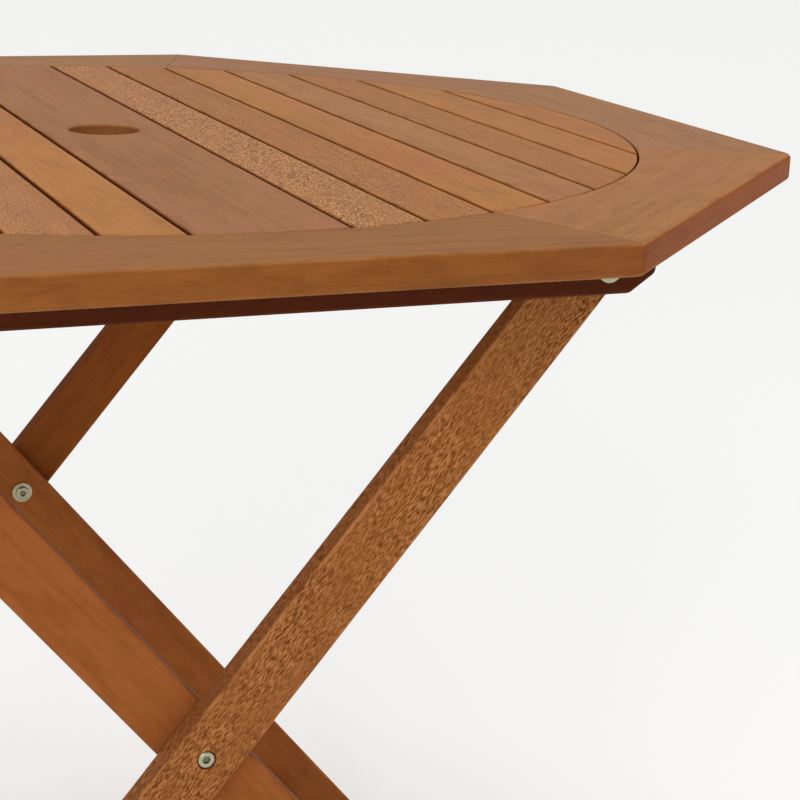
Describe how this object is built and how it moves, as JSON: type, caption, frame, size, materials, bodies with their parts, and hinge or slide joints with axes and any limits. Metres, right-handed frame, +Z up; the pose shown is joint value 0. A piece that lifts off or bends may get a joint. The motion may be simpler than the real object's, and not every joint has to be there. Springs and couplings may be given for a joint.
{
  "type": "folding garden table",
  "caption": "Folding octagonal wooden garden table: slatted round field with a parasol hole in a mitred ring, on two crossed leg frames that fold flat.",
  "frame": {"origin": "on the floor under the middle of the parasol hole", "axes": "+X across the slats towards the rail pivots, +Y along the slats, +Z up through the parasol hole"},
  "size_m": [0.9, 0.9, 0.74],
  "materials": {
    "ring_hardwood": "oiled, satin, reddish brown",
    "slat_hardwood": "oiled, satin, golden brown",
    "frame_hardwood": "oiled, satin, mid brown",
    "dowel_wood": "plain beech",
    "zinc_steel": "yellow-green zinc plate",
    "steel_plate": "zinc-plated flat steel"
  },
  "bodies": {
    "tabletop": {"batten_back": "frame_hardwood", "batten_front": "frame_hardwood", "batten_screws": "zinc_steel", "hook_shoulder_screws": "zinc_steel", "middle_plank": "slat_hardwood", "mitre_dowels": "dowel_wood", "rail_back": "frame_hardwood", "rail_front": "frame_hardwood", "rail_pivot_bolt_back": "zinc_steel", "rail_pivot_bolt_front": "zinc_steel", "rail_pivot_nut_back": "zinc_steel", "rail_pivot_nut_front": "zinc_steel", "rail_pivot_washers_back": "zinc_steel", "rail_pivot_washers_front": "zinc_steel", "rail_screws": "zinc_steel", "ring_board_1": "ring_hardwood", "ring_board_2": "ring_hardwood", "ring_board_3": "ring_hardwood", "ring_board_4": "ring_hardwood", "ring_board_5": "ring_hardwood", "ring_board_6": "ring_hardwood", "ring_board_7": "ring_hardwood", "ring_board_8": "ring_hardwood", "slat_left_1": "slat_hardwood", "slat_left_2": "slat_hardwood", "slat_left_3": "slat_hardwood", "slat_left_4": "slat_hardwood", "slat_left_5": "slat_hardwood", "slat_left_6": "slat_hardwood", "slat_left_7": "slat_hardwood", "slat_right_1": "slat_hardwood", "slat_right_2": "slat_hardwood", "slat_right_3": "slat_hardwood", "slat_right_4": "slat_hardwood", "slat_right_5": "slat_hardwood", "slat_right_6": "slat_hardwood", "slat_right_7": "slat_hardwood", "stop_block_back": "frame_hardwood", "stop_block_front": "frame_hardwood", "stop_block_screws": "zinc_steel"},
    "outer_frame": {"outer_leg_back": "frame_hardwood", "outer_leg_front": "frame_hardwood", "outer_foot_rail": "frame_hardwood", "outer_frame_screws": "zinc_steel", "crossing_bolt_back": "zinc_steel", "crossing_bolt_front": "zinc_steel", "crossing_nut_back": "zinc_steel", "crossing_nut_front": "zinc_steel", "crossing_washers_back": "zinc_steel", "crossing_washers_front": "zinc_steel"},
    "inner_frame": {"inner_leg_back": "frame_hardwood", "inner_leg_front": "frame_hardwood", "inner_foot_rail": "frame_hardwood", "top_bar": "frame_hardwood", "inner_frame_screws": "zinc_steel", "top_bar_screws": "zinc_steel"},
    "hook_front": {"locking_hook_front": "steel_plate"},
    "hook_back": {"locking_hook_back": "steel_plate"}
  },
  "joints": [
    {"name": "fold", "type": "hinge", "parent": "tabletop", "child": "outer_frame", "pos_m": [0.2412, 0, 0.6935], "axis": [0, 1, 0], "range_deg": [0, 49.5]},
    {"name": "crossing", "type": "hinge", "parent": "outer_frame", "child": "inner_frame", "pos_m": [-0.0104, 0, 0.3885], "axis": [0, 1, 0], "range_deg": [-99, 0]},
    {"name": "hook_front_swing", "type": "hinge", "parent": "tabletop", "child": "hook_front", "pos_m": [-0.2296, -0.1605, 0.697], "axis": [0, 1, 0], "range_deg": [-60, 64]},
    {"name": "hook_back_swing", "type": "hinge", "parent": "tabletop", "child": "hook_back", "pos_m": [-0.2296, 0.1605, 0.697], "axis": [0, 1, 0], "range_deg": [-60, 64]}
  ],
  "couplings": [
    {"joint": "crossing", "follows": "fold", "ratio": -2}
  ]
}
